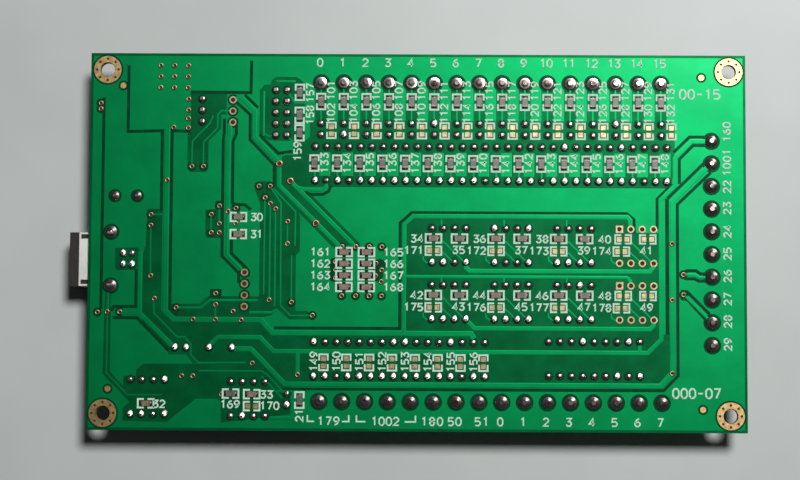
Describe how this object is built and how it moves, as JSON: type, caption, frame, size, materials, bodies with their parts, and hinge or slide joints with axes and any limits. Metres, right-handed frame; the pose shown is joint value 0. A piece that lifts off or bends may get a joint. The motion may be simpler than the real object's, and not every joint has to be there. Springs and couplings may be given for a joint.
{
  "type": "motion control circuit board",
  "caption": "Machine control circuit board, solder side up, with screw terminals along three edges, a USB socket and four corner mounting holes.",
  "frame": {"origin": "middle of the four mounting holes, on the solder side of the board", "axes": "+X along the board to the axis terminals, +Y to the input terminals, +Z out of the solder side; the tall parts hang towards -Z"},
  "size_m": [0.1514, 0.0844, 0.014],
  "materials": {
    "green_masked_laminate": "glossy green solder mask over copper",
    "terminal_plastic": "satin moulded",
    "plated_steel": "zinc plated",
    "tinned_brass": "tin plated",
    "moulded_epoxy": "matt moulded",
    "tinned_lead_frame": "tin plated",
    "stamped_steel": "nickel plated",
    "black_plastic": "satin moulded",
    "gilded_brass": "gold plated",
    "capacitor_can": "sleeved",
    "capacitor_rubber": "matt",
    "lamp_resin": "clear tinted",
    "resistor_ceramic": "glazed",
    "capacitor_ceramic": "fired",
    "tinned_chip_ends": "tin plated",
    "solder": "bright solder"
  },
  "bodies": {
    "root": {"circuit_board": "green_masked_laminate", "usb_socket_shell": "stamped_steel", "usb_socket_insulator": "black_plastic", "usb_socket_contacts": "gilded_brass", "input_terminal_housing": "terminal_plastic", "input_terminal_clamps": "plated_steel", "input_terminal_screws": "plated_steel", "input_terminal_pins": "tinned_brass", "output_terminal_housing": "terminal_plastic", "output_terminal_clamps": "plated_steel", "output_terminal_screws": "plated_steel", "output_terminal_pins": "tinned_brass", "axis_terminal_housing": "terminal_plastic", "axis_terminal_clamps": "plated_steel", "axis_terminal_screws": "plated_steel", "axis_terminal_pins": "tinned_brass", "input_optocoupler_1": "moulded_epoxy", "input_optocoupler_2": "moulded_epoxy", "input_optocoupler_3": "moulded_epoxy", "input_optocoupler_4": "moulded_epoxy", "input_optocoupler_leads": "tinned_lead_frame", "output_optocoupler_1": "moulded_epoxy", "output_optocoupler_2": "moulded_epoxy", "output_optocoupler_leads": "tinned_lead_frame", "output_driver": "moulded_epoxy", "output_driver_leads": "tinned_lead_frame", "axis_optocoupler_1": "moulded_epoxy", "axis_optocoupler_2": "moulded_epoxy", "axis_optocoupler_3": "moulded_epoxy", "axis_optocoupler_4": "moulded_epoxy", "axis_optocoupler_5": "moulded_epoxy", "axis_optocoupler_6": "moulded_epoxy", "axis_optocoupler_leads": "tinned_lead_frame", "analogue_amplifier": "moulded_epoxy", "spindle_optocoupler": "moulded_epoxy", "small_chip_leads": "tinned_lead_frame", "microcontroller": "moulded_epoxy", "microcontroller_leads": "tinned_lead_frame", "clock_crystal": "stamped_steel", "voltage_regulator": "moulded_epoxy", "voltage_regulator_leads": "tinned_lead_frame", "isolated_supply_module": "moulded_epoxy", "isolated_supply_pins": "tinned_lead_frame", "supply_capacitor_can": "capacitor_can", "supply_capacitor_bung": "capacitor_rubber", "supply_capacitor_leads": "tinned_lead_frame", "programming_header": "black_plastic", "programming_header_pins": "gilded_brass", "jumper_header": "black_plastic", "jumper_header_pins": "gilded_brass", "indicator_lamp_lenses": "lamp_resin", "indicator_lamp_leads": "tinned_lead_frame", "chip_resistor_bodies": "resistor_ceramic", "chip_resistor_caps": "tinned_chip_ends", "chip_capacitor_bodies": "capacitor_ceramic", "chip_capacitor_caps": "tinned_chip_ends", "terminal_solder_joints": "solder", "pin_solder_joints": "solder"}
  },
  "joints": []
}
